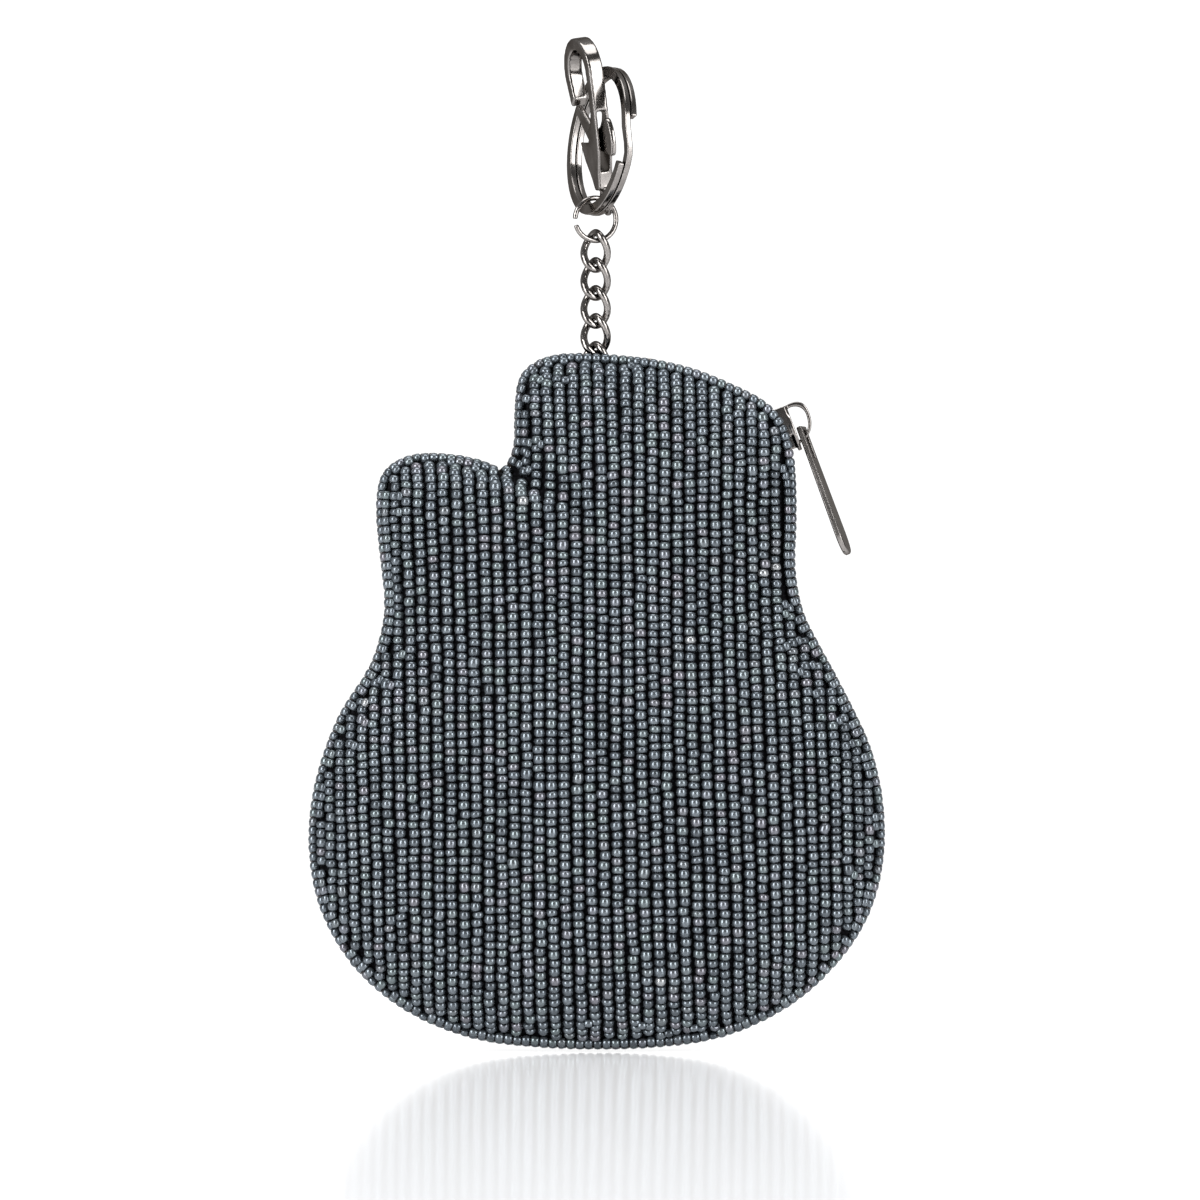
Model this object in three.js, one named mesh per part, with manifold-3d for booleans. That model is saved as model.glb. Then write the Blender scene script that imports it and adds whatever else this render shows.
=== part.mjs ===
// A beaded coin purse in the outline of a guitar's body, on a curb chain
// with a split key ring and a lobster clasp.
// Millimetres, +Z up, +X right, and the purse's plain face looks along -Y.
// The origin is the inner top of the clasp's hook, where the whole thing hangs.
import * as THREE from "three";
import { mergeVertices } from "three/addons/utils/BufferGeometryUtils.js";
import Module from "manifold-3d";

const wasm = await Module();
wasm.setup();

const { degToRad, lerp, smoothstep, clamp } = THREE.MathUtils;

// Clearance between pieces that touch
const seatGap = 0.3;

// Purse
const purseWidth = 96.3;
const purseHeight = 115.7;
const purseShift = 0.15; // the purse's middle, right of the chain
const halfDepth = 12.4; // from the seam to the fullest point of a face
const neckHalfDepth = 10.4; // the same at the top of the spine
const wall = 2.6; // cloth, lining and beads together
const seamHalfGap = 0.15;

// Chain slot in the seam, lengths along the edge from the chain
const chainSlotHalfLength = 3.6;
const chainSlotHalfGap = 1.8;
const chainSlotEase = 1.8;

// Mouth and zip, lengths along the edge from the chain
const mouthStart = 7.4;
const mouthEnd = 40.6;
const mouthHalfGap = 3.5;
const mouthStartEase = 3.4;
const mouthEndEase = 5;
const teethHalfWidth = 2.05;
const teethThickness = 1.4;
const tapeThickness = 1;
const tapeEndMargin = 0.9;
const stopLength = 1.2;

// Slider and pull
const sliderAt = 35.7;
const sliderLength = 7.8;
const sliderWidth = 6.2;
const sliderWaist = 4.6;
const sliderNose = 1.6;
const plateThickness = 0.65;
const plateRise = 0.5; // the top plate's underside above the edge
const flangeThickness = 0.6;
const bailWidth = 1.5;
const bailHeight = 3.25;
const bailThickness = 0.6;
const bailInset = 1; // from the closed end of the plate to the bail's foot
const lowerPlateGap = 1.1; // under the tapes
const lowerPlateShare = 0.85; // of the slider's length
const hingeAcross = 0.75; // from the slider's middle towards the closed end
const hingeGap = 0.6; // between the plate and the pull's bar
const dividerHalfWidth = 0.7;
const dividerLength = 2.2;
const pullLength = 22.3;
const pullThickness = 1;
const pullBevel = 0.2;
const pullEyePlay = 0.5; // at each side of the bail
const pullNeckWidth = 3.8;
const pullEndWidth = 5;
const pullEyeLength = 4.6;
const pullLean = 20.6; // degrees from the vertical, tip outwards
const pullYaw = 13; // degrees that the pull is turned in its play

// Chain
const linkCount = 5;
const linkWire = 1.17;
const linkLength = 7.4;
const linkWidth = 5.2;
const linkTwist = 45; // degrees at each end, so that the links lie flat
const chainYaw = -14;
const chainPlay = 0.4;
const lastLinkShows = 1.55; // the last link's middle below the purse's top edge
const anchorWidth = 1;
const anchorTwistShare = 0.7; // of the link's twist, where the anchor passes through it

// Jump ring
const jumpOuter = 8;
const jumpWire = 0.85;
const jumpYaw = 18;
const jumpGapAngle = 188; // degrees, measured from the right
const jumpGapOpening = 1.1;
const eyeOnJump = 58; // degrees, where the clasp's eye sits on the jump ring
const splitOnJump = 99; // degrees, where the key ring sits on it

// Split ring
const splitOuter = 25;
const splitRadial = 1.8;
const splitAxial = 1;
const splitCoilGap = 0.15;
const splitYaw = 68;
const splitLean = 7.5;
const splitPlay = 0.4; // room for the ring's width on the curved wire
const stepStart = -15; // degrees, where one coil steps over to the other
const stepEnd = 17;
const stepEndGap = 3;

// Clasp
const claspYaw = 70;
const claspLean = -9.9;
const claspReach = 25.6; // from the hook's inner top to the middle of the eye
const claspThickness = 2.6;
const hookInner = 3.9;
const hookWire = 2.1;
const eyeRadius = 2.1;
const eyeWire = 0.9;
const leverPivotDrop = 15.5;
const leverReach = 8.1;
const leverThickness = 0.9;
const leverHub = 1.9;
const leverArm = 131; // degrees from the right, where the lever meets the hook's tip
const leverEndSpread = 7; // degrees either side of that
const hubFromArm = 45; // degrees past the arm, where its edge meets the hub
const hubToLobe = 300; // degrees, where the hub runs into the lobe
const lobeToHub = 62; // degrees, where the lobe runs back into the hub
const gateFrom = 100; // degrees round the pivot that the hook leaves open for the lever
const gateTo = 172;
const pinRadius = 0.5;
const lobeReach = 8.4;
const lobeHalfHeight = 3.1;

// How finely the curves are cut
const stepsPerRow = 3;
const wireSides = 6;
const linkSteps = 28;
const jumpSteps = 30;
const splitStepDegrees = 7.5;

// The purse's edge, clockwise from the chain as the plain face shows it:
// shares of the width from the middle, and of the height from the top.
const edgeTable = [
  { across: 0.0, down: 0.0 },
  { across: 0.082, down: 0.006 },
  { across: 0.162, down: 0.02 },
  { across: 0.24, down: 0.046 },
  { across: 0.292, down: 0.069 },
  { across: 0.323, down: 0.097 },
  { across: 0.337, down: 0.128 },
  { across: 0.345, down: 0.174 },
  { across: 0.347, down: 0.239 },
  { across: 0.345, down: 0.311 },
  { across: 0.359, down: 0.372 },
  { across: 0.39, down: 0.424 },
  { across: 0.432, down: 0.489 },
  { across: 0.477, down: 0.571 },
  { across: 0.498, down: 0.657 },
  { across: 0.496, down: 0.736 },
  { across: 0.471, down: 0.811 },
  { across: 0.418, down: 0.878 },
  { across: 0.335, down: 0.94 },
  { across: 0.222, down: 0.984 },
  { across: 0.093, down: 1.0 },
  { across: -0.089, down: 1.0 },
  { across: -0.219, down: 0.986 },
  { across: -0.331, down: 0.947 },
  { across: -0.423, down: 0.882 },
  { across: -0.48, down: 0.798 },
  { across: -0.499, down: 0.708 },
  { across: -0.489, down: 0.621 },
  { across: -0.447, down: 0.52 },
  { across: -0.392, down: 0.447 },
  { across: -0.368, down: 0.372 },
  { across: -0.376, down: 0.29 },
  { across: -0.382, down: 0.218 },
  { across: -0.371, down: 0.172 },
  { across: -0.33, down: 0.147 },
  { across: -0.262, down: 0.143 },
  { across: -0.202, down: 0.153 },
  { across: -0.164, down: 0.164 },
  { across: -0.145, down: 0.134 },
  { across: -0.143, down: 0.084 },
  { across: -0.131, down: 0.029 },
  { across: -0.084, down: 0.003 },
];

// The line that the faces swell up to, shares of the height from the top
const spineTop = 0.24;
const spineBottom = 0.76;

// Angles round the swelling of a face, from the edge to nearly the spine
const outerAngles = [0, 14, 28, 43, 58, 71, 83];
const innerAngles = [0, 27, 55, 83];

// Colours and finishes
const looks = {
  beads: { color: 0x4c565f, roughness: 0.35, metalness: 0.6 },
  darkBeads: { color: 0x26252a, roughness: 0.4, metalness: 0.5 },
  tape: { color: 0x16161a, roughness: 0.9, metalness: 0 },
  thread: { color: 0x1d1d20, roughness: 0.95, metalness: 0 },
  coil: { color: 0x202026, roughness: 0.5, metalness: 0.1 },
  metal: { color: 0x6a6461, roughness: 0.18, metalness: 1 },
};

function piece(name, geometry, look) {
  const mesh = new THREE.Mesh(geometry, new THREE.MeshStandardMaterial({ ...look, flatShading: true }));
  mesh.name = name;
  return mesh;
}

// Turns a list of points and a list of corner triples into a geometry whose faces point out.
function closedGeometry(points, corners) {
  const volume = corners.reduce((sum, [a, b, c]) => {
    return sum + points[a].dot(points[b].clone().cross(points[c]));
  }, 0);
  const turned = volume < 0 ? corners.map(([a, b, c]) => [a, c, b]) : corners;
  const geometry = new THREE.BufferGeometry().setFromPoints(points);
  geometry.setIndex(turned.flat());
  geometry.computeVertexNormals();
  return geometry;
}

// A skin over rings of equally many points, closed on itself or with a cap at each end.
function skin(rings, loop = false) {
  const sides = rings[0].length;
  const points = rings.flat();
  const corners = [];
  const spans = loop ? rings.length : rings.length - 1;
  for (let r = 0; r < spans; r++) {
    const next = (r + 1) % rings.length;
    for (let i = 0; i < sides; i++) {
      const j = (i + 1) % sides;
      corners.push([r * sides + i, r * sides + j, next * sides + j]);
      corners.push([r * sides + i, next * sides + j, next * sides + i]);
    }
  }
  if (!loop) {
    for (const [ring, start, forward] of [
      [rings[0], 0, false],
      [rings.at(-1), (rings.length - 1) * sides, true],
    ]) {
      const middle = ring.reduce((sum, p) => sum.add(p), new THREE.Vector3()).divideScalar(sides);
      points.push(middle);
      for (let i = 0; i < sides; i++) {
        const pair = [start + i, start + ((i + 1) % sides)];
        corners.push([points.length - 1, ...(forward ? pair : pair.reverse())]);
      }
    }
  }
  return closedGeometry(points, corners);
}

// A section, as pairs of offsets along u and v, carried along frames with a centre, u and v.
function sweep(frames, section, loop = false) {
  const rings = frames.map(({ centre, u, v }) =>
    section.map(([a, b]) => centre.clone().addScaledVector(u, a).addScaledVector(v, b)),
  );
  return skin(rings, loop);
}

function roundSection(radius, sides = wireSides) {
  return Array.from({ length: sides }, (_, i) => {
    const angle = (i / sides) * 2 * Math.PI;
    return [radius * Math.cos(angle), radius * Math.sin(angle)];
  });
}

function boxSection(width, height) {
  const [a, b] = [width / 2, height / 2];
  return [
    [a, b],
    [-a, b],
    [-a, -b],
    [a, -b],
  ];
}

// Solids that are joined or cut
function toSolid(geometry) {
  const bare = geometry.clone();
  bare.deleteAttribute("normal");
  bare.deleteAttribute("uv");
  const merged = mergeVertices(bare, 1e-3);
  const index = Array.from(merged.index.array);
  const triangles = Array.from({ length: index.length / 3 }, (_, i) => index.slice(3 * i, 3 * i + 3));
  const whole = triangles.filter((corners) => new Set(corners).size === 3);
  return new wasm.Manifold(
    new wasm.Mesh({
      numProp: 3,
      vertProperties: new Float32Array(merged.attributes.position.array),
      triVerts: new Uint32Array(whole.flat()),
    }),
  );
}

function fromSolid(solid) {
  const mesh = solid.getMesh();
  const geometry = new THREE.BufferGeometry();
  geometry.setAttribute("position", new THREE.BufferAttribute(mesh.vertProperties, mesh.numProp));
  geometry.setIndex(new THREE.BufferAttribute(mesh.triVerts, 1));
  geometry.computeVertexNormals();
  return geometry;
}

function joined(geometries) {
  return geometries.map(toSolid).reduce((whole, next) => whole.add(next));
}

// The points of a closed path, each only once
function distinctPoints(path, curveSegments) {
  const points = path.getPoints(curveSegments);
  return points.filter((p, i) => p.distanceTo(points[(i + 1) % points.length]) > 1e-3);
}

// A flat shape drawn in the XZ plane and thickened along Y, with its middle at y = 0.
function slab(drawn, thickness, { bevel = 0, curveSegments = 8 } = {}) {
  const shape = new THREE.Shape(distinctPoints(drawn, curveSegments));
  shape.holes = drawn.holes.map((hole) => new THREE.Path(distinctPoints(hole, curveSegments)));
  const geometry = new THREE.ExtrudeGeometry(shape, {
    depth: thickness - 2 * bevel,
    bevelEnabled: bevel > 0,
    bevelThickness: bevel,
    bevelSize: bevel,
    bevelOffset: -bevel,
    bevelSegments: 1,
  });
  return geometry.translate(0, 0, -(thickness - 2 * bevel) / 2).rotateX(Math.PI / 2);
}

// Where the pieces hang, from the hook down
const claspTurn = new THREE.Euler(0, degToRad(claspLean), 0);
const eyeCentre = new THREE.Vector3(0, 0, -claspReach).applyEuler(claspTurn);
const jumpRadius = (jumpOuter - jumpWire) / 2;
const jumpAxis = new THREE.Vector3(0, 0, 1);

function onJumpRing(angle) {
  const a = degToRad(angle);
  return new THREE.Vector3(jumpRadius * Math.cos(a), 0, jumpRadius * Math.sin(a)).applyAxisAngle(
    jumpAxis,
    degToRad(jumpYaw),
  );
}

const jumpCentre = eyeCentre.clone().sub(onJumpRing(eyeOnJump));
const linkRise = (linkLength - linkWire) / 2;
const linkPitch = linkLength - 2 * linkWire - chainPlay;
const firstLinkDrop = jumpRadius + linkRise - (jumpWire + linkWire) / 2 - chainPlay;
const lastLinkDrop = firstLinkDrop + (linkCount - 1) * linkPitch;
const purseTopDrop = lastLinkDrop - lastLinkShows;

// The purse's edge as a closed curve, with the chain at x = 0 and the top at z = 0
const purseMiddle = purseShift;
const edge = new THREE.CatmullRomCurve3(
  edgeTable.map(
    ({ across, down }) => new THREE.Vector3(purseMiddle + across * purseWidth, 0, -down * purseHeight),
  ),
  true,
  "centripetal",
);
const stationCount = edgeTable.length * stepsPerRow;
const lengthsPerStation = 8;
edge.arcLengthDivisions = stationCount * lengthsPerStation;
const edgeLengths = edge.getLengths();
const perimeter = edgeLengths.at(-1);

// Half of the gap between the faces at a length along the edge from the chain
function rimHalfGap(along) {
  const fromChain = Math.min(along, perimeter - along);
  const slot = 1 - smoothstep(fromChain, chainSlotHalfLength, chainSlotHalfLength + chainSlotEase);
  const opens = smoothstep(along, mouthStart - mouthStartEase, mouthStart);
  const closes = 1 - smoothstep(along, mouthEnd, mouthEnd + mouthEndEase);
  return Math.max(lerp(seamHalfGap, chainSlotHalfGap, slot), lerp(seamHalfGap, mouthHalfGap, opens * closes));
}

// A place on the edge: its point, its direction clockwise, and the way into the purse
function edgeFrame(along) {
  const share = along / perimeter;
  const point = edge.getPointAt(share);
  const forward = edge.getTangentAt(share);
  return { point, forward, inward: new THREE.Vector3(forward.z, 0, -forward.x) };
}

function spinePoint(point) {
  const z = clamp(point.z, -spineBottom * purseHeight, -spineTop * purseHeight);
  return new THREE.Vector3(purseMiddle, 0, z);
}

function spineDepth(z) {
  const share = smoothstep(-z / purseHeight, spineTop, (spineTop + spineBottom) / 2);
  return lerp(neckHalfDepth, halfDepth, share);
}

const steepestSlant = 0.5; // limits how far the inner edge runs along a slanting line to the spine
const stations = Array.from({ length: stationCount }, (_, i) => {
  const point = edge.getPoint(i / stationCount);
  const forward = edge.getTangent(i / stationCount);
  const inward = new THREE.Vector3(forward.z, 0, -forward.x);
  const spine = spinePoint(point);
  const toSpine = spine.clone().sub(point).normalize();
  const reach = wall / Math.max(toSpine.dot(inward), steepestSlant);
  return {
    point,
    inset: point.clone().addScaledVector(toSpine, reach),
    spine,
    rim: rimHalfGap(edgeLengths[i * lengthsPerStation]),
    depth: spineDepth(spine.z),
  };
});

// One ring of a face at an angle round its swelling
function faceRing(side, angle, start, thickness) {
  const turn = degToRad(angle);
  return stations.map((station) => {
    const p = station[start].clone().lerp(station.spine, 1 - Math.cos(turn));
    p.y = side * lerp(station.rim, station.depth - thickness, Math.sin(turn));
    return p;
  });
}

// A puffed face, open towards the seam: side is -1 for the back and 1 for the front
function panel(side) {
  const outer = outerAngles.map((angle) => faceRing(side, angle, "point", 0)).reverse();
  const inner = innerAngles.map((angle) => faceRing(side, angle, "inset", wall));
  return skin([...outer, ...inner]);
}

// Zip, whose depths are measured inwards from the edge
const tapeTop = teethThickness + seatGap;
const tapeOuter = mouthHalfGap - seatGap;
const teethStart = mouthStart + tapeEndMargin + stopLength + seatGap;
const dividerStart = sliderAt + sliderLength / 2 - dividerLength - flangeThickness;
const teethEnd = dividerStart - seatGap;
const zipStep = 1.6;

// A strip along the edge between two lengths, whose section may change as it goes
function edgeStrip(from, to, sectionAt) {
  const count = Math.max(1, Math.round((to - from) / zipStep));
  const rings = Array.from({ length: count + 1 }, (_, i) => {
    const along = lerp(from, to, i / count);
    const { point, inward } = edgeFrame(along);
    const { near, far, top, bottom } = sectionAt(along);
    return [
      [near, top],
      [far, top],
      [far, bottom],
      [near, bottom],
    ].map(([y, depth]) => point.clone().addScaledVector(inward, depth).setY(y));
  });
  return skin(rings);
}

function zipTape(side) {
  return edgeStrip(mouthStart + seatGap, mouthEnd, (along) => {
    const parting = smoothstep(along, teethEnd - zipStep, teethEnd);
    return {
      near: side * lerp(seamHalfGap, dividerHalfWidth + seatGap, parting),
      far: side * tapeOuter,
      top: tapeTop,
      bottom: tapeTop + tapeThickness,
    };
  });
}

function zipBar(from, to) {
  return edgeStrip(from, to, () => ({
    near: -teethHalfWidth,
    far: teethHalfWidth,
    top: 0,
    bottom: teethThickness,
  }));
}

// The slider in its own frame: +X towards the closed end, +Z outwards, z = 0 on the edge
const flangeInner = teethHalfWidth + seatGap;
const plateTop = plateRise + plateThickness;
const lowerPlateDrop = tapeTop + tapeThickness + lowerPlateGap;
const hingeRise = plateTop + hingeGap + pullThickness / 2;

function plateShape(length) {
  const [end, wide, waist, nose] = [length / 2, sliderWidth / 2, sliderWaist / 2, sliderNose / 2];
  const shape = new THREE.Shape();
  shape.moveTo(-end, -waist);
  shape.quadraticCurveTo(-end * 0.4, -wide, 0, -wide);
  shape.quadraticCurveTo(end * 0.7, -wide, end, -nose);
  shape.lineTo(end, nose);
  shape.quadraticCurveTo(end * 0.7, wide, 0, wide);
  shape.quadraticCurveTo(-end * 0.4, wide, -end, waist);
  shape.closePath();
  return shape;
}

function plate(length, underside) {
  const geometry = new THREE.ExtrudeGeometry(plateShape(length), {
    depth: plateThickness,
    bevelEnabled: false,
    curveSegments: 5,
  });
  return geometry.translate(0, 0, underside);
}

function boxAt(size, centre) {
  return new THREE.BoxGeometry(...size).translate(...centre);
}

// The bail is an arch over the plate, seen from the side, with its window cut out.
// The curves' handles are shares of its height.
function bail() {
  const [start, end] = [-sliderLength / 2, sliderLength / 2 - bailInset];
  const [low, high] = [plateTop - plateThickness / 2, plateTop + bailHeight];
  const windowHigh = high - bailThickness;
  const [windowStart, windowEnd] = [start + bailThickness, end - bailThickness];
  const along = (share) => share * bailHeight;
  const arch = new THREE.Shape();
  arch.moveTo(start, low);
  const shoulder = lerp(low, high, 0.75);
  const crown = start + along(0.76);
  arch.bezierCurveTo(start - along(0.17), shoulder, start + along(0.14), high, crown, high);
  arch.bezierCurveTo(end - along(0.69), high, end - along(0.14), shoulder, end, low);
  arch.closePath();
  const window = new THREE.Path();
  window.moveTo(windowStart, plateTop);
  window.lineTo(windowEnd, plateTop);
  window.bezierCurveTo(
    windowEnd - along(0.14),
    lerp(plateTop, windowHigh, 0.7),
    windowEnd - along(0.55),
    windowHigh,
    crown,
    windowHigh,
  );
  window.bezierCurveTo(
    windowStart + along(0.2),
    windowHigh,
    windowStart - along(0.1),
    lerp(plateTop, windowHigh, 0.6),
    windowStart,
    plateTop,
  );
  arch.holes.push(window);
  return slab(arch, bailWidth, { curveSegments: 7 });
}

function slider() {
  const flangeLength = dividerStart - (sliderAt - sliderLength / 2);
  const flangeMiddle = (flangeLength - sliderLength) / 2;
  const flangeDrop = tapeTop - seatGap;
  const dividerMiddle = dividerStart - sliderAt + dividerLength / 2;
  const dividerHeight = plateRise + plateThickness / 2 + lowerPlateDrop + plateThickness / 2;
  const flanges = [-1, 1].map((side) =>
    boxAt(
      [flangeLength, flangeThickness, flangeDrop + plateRise + plateThickness / 2],
      [
        flangeMiddle,
        side * (flangeInner + flangeThickness / 2),
        (plateRise + plateThickness / 2 - flangeDrop) / 2,
      ],
    ),
  );
  const divider = boxAt(
    [dividerLength, 2 * dividerHalfWidth, dividerHeight],
    [dividerMiddle, 0, plateRise + plateThickness / 2 - dividerHeight / 2],
  );
  return fromSolid(
    joined([
      plate(sliderLength, plateRise),
      plate(sliderLength * lowerPlateShare, -lowerPlateDrop - plateThickness),
      ...flanges,
      divider,
      bail(),
    ]),
  );
}

// The pull in its own frame: hinge bar along Y at the origin, tab along -Z
function pull() {
  const barHalf = pullThickness / 2;
  const eyeHalf = bailWidth / 2 + pullEyePlay;
  const neckHalf = pullNeckWidth / 2;
  const endHalf = pullEndWidth / 2;
  const eyeEnd = -barHalf - pullEyeLength;
  const shape = new THREE.Shape();
  shape.moveTo(-neckHalf, barHalf);
  shape.lineTo(neckHalf, barHalf);
  shape.lineTo(neckHalf, eyeEnd);
  shape.lineTo(endHalf, -pullLength + endHalf * 1.6);
  shape.quadraticCurveTo(endHalf, -pullLength, 0, -pullLength);
  shape.quadraticCurveTo(-endHalf, -pullLength, -endHalf, -pullLength + endHalf * 1.6);
  shape.lineTo(-neckHalf, eyeEnd);
  shape.closePath();
  const eye = new THREE.Path();
  eye.moveTo(-eyeHalf, -barHalf);
  eye.lineTo(-eyeHalf, eyeEnd);
  eye.lineTo(eyeHalf, eyeEnd);
  eye.lineTo(eyeHalf, -barHalf);
  eye.closePath();
  shape.holes.push(eye);
  const tab = slab(shape, pullThickness, { bevel: pullBevel, curveSegments: 6 });
  return fromSolid(toSolid(tab.rotateZ(Math.PI / 2)));
}

// A curb link, an oval twisted about its length, with its middle at the origin
function curbLink() {
  const halfWidth = (linkWidth - linkWire) / 2;
  const centreAt = (turn) => {
    const z = linkRise * Math.sin(turn);
    const twist = degToRad(-linkTwist) * (z / linkRise);
    const reach = halfWidth * Math.cos(turn);
    return new THREE.Vector3(reach * Math.cos(twist), reach * Math.sin(twist), z);
  };
  const nudge = 1e-3;
  const frames = Array.from({ length: linkSteps }, (_, i) => {
    const turn = (i / linkSteps) * 2 * Math.PI;
    const centre = centreAt(turn);
    const forward = centreAt(turn + nudge).sub(centreAt(turn - nudge)).normalize();
    const u = centre.clone().addScaledVector(forward, -centre.dot(forward)).normalize();
    return { centre, u, v: forward.clone().cross(u) };
  });
  return sweep(frames, roundSection(linkWire / 2), true);
}

// A frame on a circle in the XZ plane, with u along its radius and v along its axis
function circleFrame(radius, degrees, axial = 0) {
  const a = degToRad(degrees);
  const u = new THREE.Vector3(Math.cos(a), 0, Math.sin(a));
  const v = new THREE.Vector3(0, 1, 0);
  return { centre: u.clone().multiplyScalar(radius).addScaledVector(v, axial), u, v };
}

function jumpRing() {
  const halfGapDegrees = THREE.MathUtils.radToDeg(jumpGapOpening / 2 / jumpRadius);
  const start = jumpGapAngle + halfGapDegrees;
  const end = jumpGapAngle + 360 - halfGapDegrees;
  const frames = Array.from({ length: jumpSteps + 1 }, (_, i) =>
    circleFrame(jumpRadius, lerp(start, end, i / jumpSteps)),
  );
  return sweep(frames, roundSection(jumpWire / 2, 8));
}

// Two flat coils of one wire that step over from one side to the other
const splitRadius = (splitOuter - splitRadial) / 2;

function splitRing() {
  const side = (splitAxial + splitCoilGap) / 2;
  const start = stepEnd + stepEndGap;
  const end = 720 + stepStart - stepEndGap;
  const count = Math.round((end - start) / splitStepDegrees);
  const frames = Array.from({ length: count + 1 }, (_, i) => {
    const degrees = lerp(start, end, i / count);
    const stepped = smoothstep(degrees, 360 + stepStart, 360 + stepEnd);
    return circleFrame(splitRadius, degrees, lerp(side, -side, stepped));
  });
  return sweep(frames, boxSection(splitRadial, splitAxial));
}

// The clasp in its own frame: its outline lies in the XZ plane, with the hook's inner top at the origin
const hookOuter = hookInner + hookWire;
const hookCentreZ = -hookInner;
const pivotZ = -leverPivotDrop;
const slotHalf = leverThickness / 2 + seatGap;
const slotTop = -0.425 * claspReach;
const slotBottom = -0.81 * claspReach;

// Half widths of the clasp's outlines below the hook, as shares of the hook's radius,
// and how far down they lie, as shares of the reach
const claspOuterTable = [
  { drop: 0.37, half: 0.867 },
  { drop: 0.54, half: 0.733 },
  { drop: 0.695, half: 0.583 },
  { drop: 0.826, half: 0.317 },
  { drop: 0.922, half: 0.183 },
];
const claspInnerTable = [
  { drop: 0.34, half: 0.846 },
  { drop: 0.456, half: 0.615 },
  { drop: 0.521, half: 0 },
];

function sideOf(table, sign, radius) {
  return table.map(({ drop, half }) => new THREE.Vector2(sign * half * radius, -drop * claspReach));
}

function claspOutline() {
  const shape = new THREE.Shape();
  shape.moveTo(hookOuter, hookCentreZ);
  shape.absarc(0, hookCentreZ, hookOuter, 0, Math.PI, false);
  shape.splineThru(sideOf(claspOuterTable, -1, hookOuter));
  const [neck, ...right] = sideOf(claspOuterTable, 1, hookOuter).reverse();
  shape.lineTo(neck.x, neck.y);
  shape.splineThru([...right, new THREE.Vector2(hookOuter, hookCentreZ)]);
  return shape;
}

function claspOpening() {
  const opening = new THREE.Shape();
  opening.moveTo(hookInner, hookCentreZ);
  opening.absarc(0, hookCentreZ, hookInner, 0, Math.PI, false);
  opening.splineThru([
    ...sideOf(claspInnerTable, -1, hookInner),
    ...sideOf(claspInnerTable, 1, hookInner).reverse().slice(1),
    new THREE.Vector2(hookInner, hookCentreZ),
  ]);
  return opening;
}

// The way that the lever's arm leaves open in the hook
function gateCutter() {
  const shape = new THREE.Shape();
  const reach = leverReach + seatGap;
  const [from, to] = [degToRad(gateFrom), degToRad(gateTo)];
  shape.moveTo(0, pivotZ);
  shape.lineTo(reach * Math.cos(from), pivotZ + reach * Math.sin(from));
  shape.absarc(0, pivotZ, reach, from, to, false);
  shape.closePath();
  return slab(shape, 2 * claspThickness, { curveSegments: 14 });
}

function claspBody() {
  const plateSolid = toSolid(slab(claspOutline(), claspThickness, { curveSegments: 10 }));
  const opening = toSolid(slab(claspOpening(), 2 * claspThickness, { curveSegments: 10 }));
  const slot = boxAt(
    [4 * hookOuter, 2 * slotHalf, slotTop - slotBottom],
    [0, 0, (slotTop + slotBottom) / 2],
  );
  const pin = new THREE.CylinderGeometry(pinRadius, pinRadius, claspThickness, 10).translate(0, 0, pivotZ);
  const eye = new THREE.TorusGeometry(eyeRadius, eyeWire / 2, 8, 20)
    .rotateX(Math.PI / 2)
    .translate(0, 0, -claspReach);
  return fromSolid(
    plateSolid
      .subtract(opening)
      .subtract(toSolid(gateCutter()))
      .subtract(toSolid(slot))
      .add(toSolid(pin))
      .add(toSolid(eye)),
  );
}

// The lever in its own frame, with its pivot at the origin
function claspLever() {
  const at = (radius, degrees) => [
    radius * Math.cos(degToRad(degrees)),
    radius * Math.sin(degToRad(degrees)),
  ];
  const shape = new THREE.Shape();
  const [armFrom, armTo] = [leverArm - leverEndSpread, leverArm + leverEndSpread];
  shape.moveTo(...at(leverReach, armFrom));
  shape.absarc(0, 0, leverReach, degToRad(armFrom), degToRad(armTo), false);
  shape.lineTo(...at(leverHub, armTo + hubFromArm));
  shape.absarc(0, 0, leverHub, degToRad(armTo + hubFromArm), degToRad(hubToLobe), false);
  shape.splineThru([
    new THREE.Vector2(lobeReach * 0.5, -lobeHalfHeight * 0.75),
    new THREE.Vector2(lobeReach * 0.85, -lobeHalfHeight),
    new THREE.Vector2(lobeReach, 0),
    new THREE.Vector2(lobeReach * 0.88, lobeHalfHeight),
    new THREE.Vector2(lobeReach * 0.5, lobeHalfHeight * 0.7),
    new THREE.Vector2(...at(leverHub, lobeToHub)),
  ]);
  shape.closePath();
  const hole = new THREE.Path();
  hole.absarc(0, 0, pinRadius + seatGap, 0, 2 * Math.PI, true);
  shape.holes.push(hole);
  return fromSolid(toSolid(slab(shape, leverThickness, { curveSegments: 6 })));
}

// Depth of a face's inside, straight down from the chain
function insideDepth(drop) {
  const share = (drop - wall) / (spineTop * purseHeight - wall);
  const swell = Math.sqrt(1 - (1 - share) ** 2);
  return lerp(chainSlotHalfGap, neckHalfDepth - wall, swell);
}

// The stitched bar in the purse that runs through the last link and holds it
function chainAnchor() {
  const drop = lastLinkShows + linkRise - (linkWire + anchorWidth) / 2 - seatGap;
  const turn = degToRad(chainYaw + linkTwist * anchorTwistShare);
  const length = (2 * (insideDepth(drop - anchorWidth / 2) - 2 * seatGap)) / Math.cos(turn);
  return new THREE.CylinderGeometry(anchorWidth / 2, anchorWidth / 2, length, 8)
    .rotateZ(turn)
    .translate(0, 0, -drop);
}

// Assembly
const model = new THREE.Group();

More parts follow.
